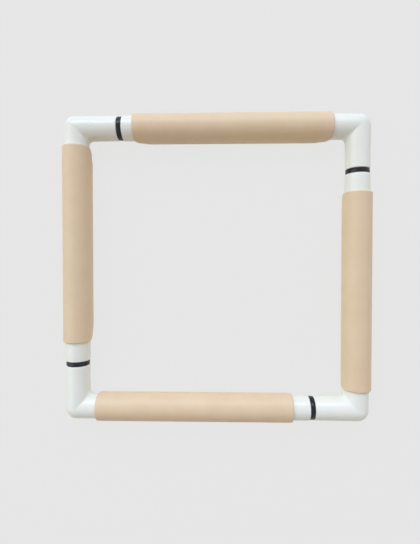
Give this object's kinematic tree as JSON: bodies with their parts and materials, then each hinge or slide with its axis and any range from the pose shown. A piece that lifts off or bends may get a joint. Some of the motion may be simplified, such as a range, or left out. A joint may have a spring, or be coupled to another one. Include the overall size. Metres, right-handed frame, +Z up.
{
  "type": "square clip frame",
  "caption": "Square needlework frame: push-together corner tubes with rubber rings at the joints, and a C-shaped clip pressed over each side to hold the cloth.",
  "frame": {"origin": "centre of the square, on the surface that the frame lies on", "axes": "+Z up from that surface, +Y towards the top side, +X towards the right side"},
  "size_m": [0.2841, 0.2846, 0.0241],
  "materials": {
    "white_plastic": "glossy moulded",
    "black_rubber": "smooth",
    "peach_plastic": "satin moulded"
  },
  "bodies": {
    "top_right": {"corner_tube_top_right": "white_plastic", "rubber_ring_right": "black_rubber"},
    "bottom_right": {"corner_tube_bottom_right": "white_plastic", "rubber_ring_bottom": "black_rubber"},
    "bottom_left": {"corner_tube_bottom_left": "white_plastic", "rubber_ring_left": "black_rubber"},
    "top_left": {"corner_tube_top_left": "white_plastic", "rubber_ring_top": "black_rubber"},
    "top_clip": {"snap_clip_top": "peach_plastic"},
    "right_clip": {"snap_clip_right": "peach_plastic"},
    "bottom_clip": {"snap_clip_bottom": "peach_plastic"},
    "left_clip": {"snap_clip_left": "peach_plastic"}
  },
  "joints": [
    {"name": "top_joint_pull", "type": "slide", "parent": "top_right", "child": "top_left", "axis": [-1, 0, 0], "range_m": [0, 0.03]},
    {"name": "right_joint_pull", "type": "slide", "parent": "top_right", "child": "bottom_right", "axis": [0, -1, 0], "range_m": [0, 0.03]},
    {"name": "bottom_joint_pull", "type": "slide", "parent": "bottom_right", "child": "bottom_left", "axis": [-1, 0, 0], "range_m": [0, 0.03]},
    {"name": "top_clip_turn", "type": "hinge", "parent": "top_right", "child": "top_clip", "pos_m": [0.0145, 0.1289, 0.0111], "axis": [1, 0, 0], "continuous": true},
    {"name": "right_clip_turn", "type": "hinge", "parent": "bottom_right", "child": "right_clip", "pos_m": [0.1289, -0.0211, 0.0111], "axis": [0, -1, 0], "continuous": true},
    {"name": "bottom_clip_turn", "type": "hinge", "parent": "bottom_left", "child": "bottom_clip", "pos_m": [-0.0199, -0.1289, 0.0111], "axis": [-1, 0, 0], "continuous": true},
    {"name": "left_clip_turn", "type": "hinge", "parent": "top_left", "child": "left_clip", "pos_m": [-0.1289, 0.0219, 0.0111], "axis": [0, 1, 0], "continuous": true}
  ],
  "couplings": [
    {"joint": "bottom_joint_pull", "follows": "top_joint_pull", "ratio": 1}
  ]
}
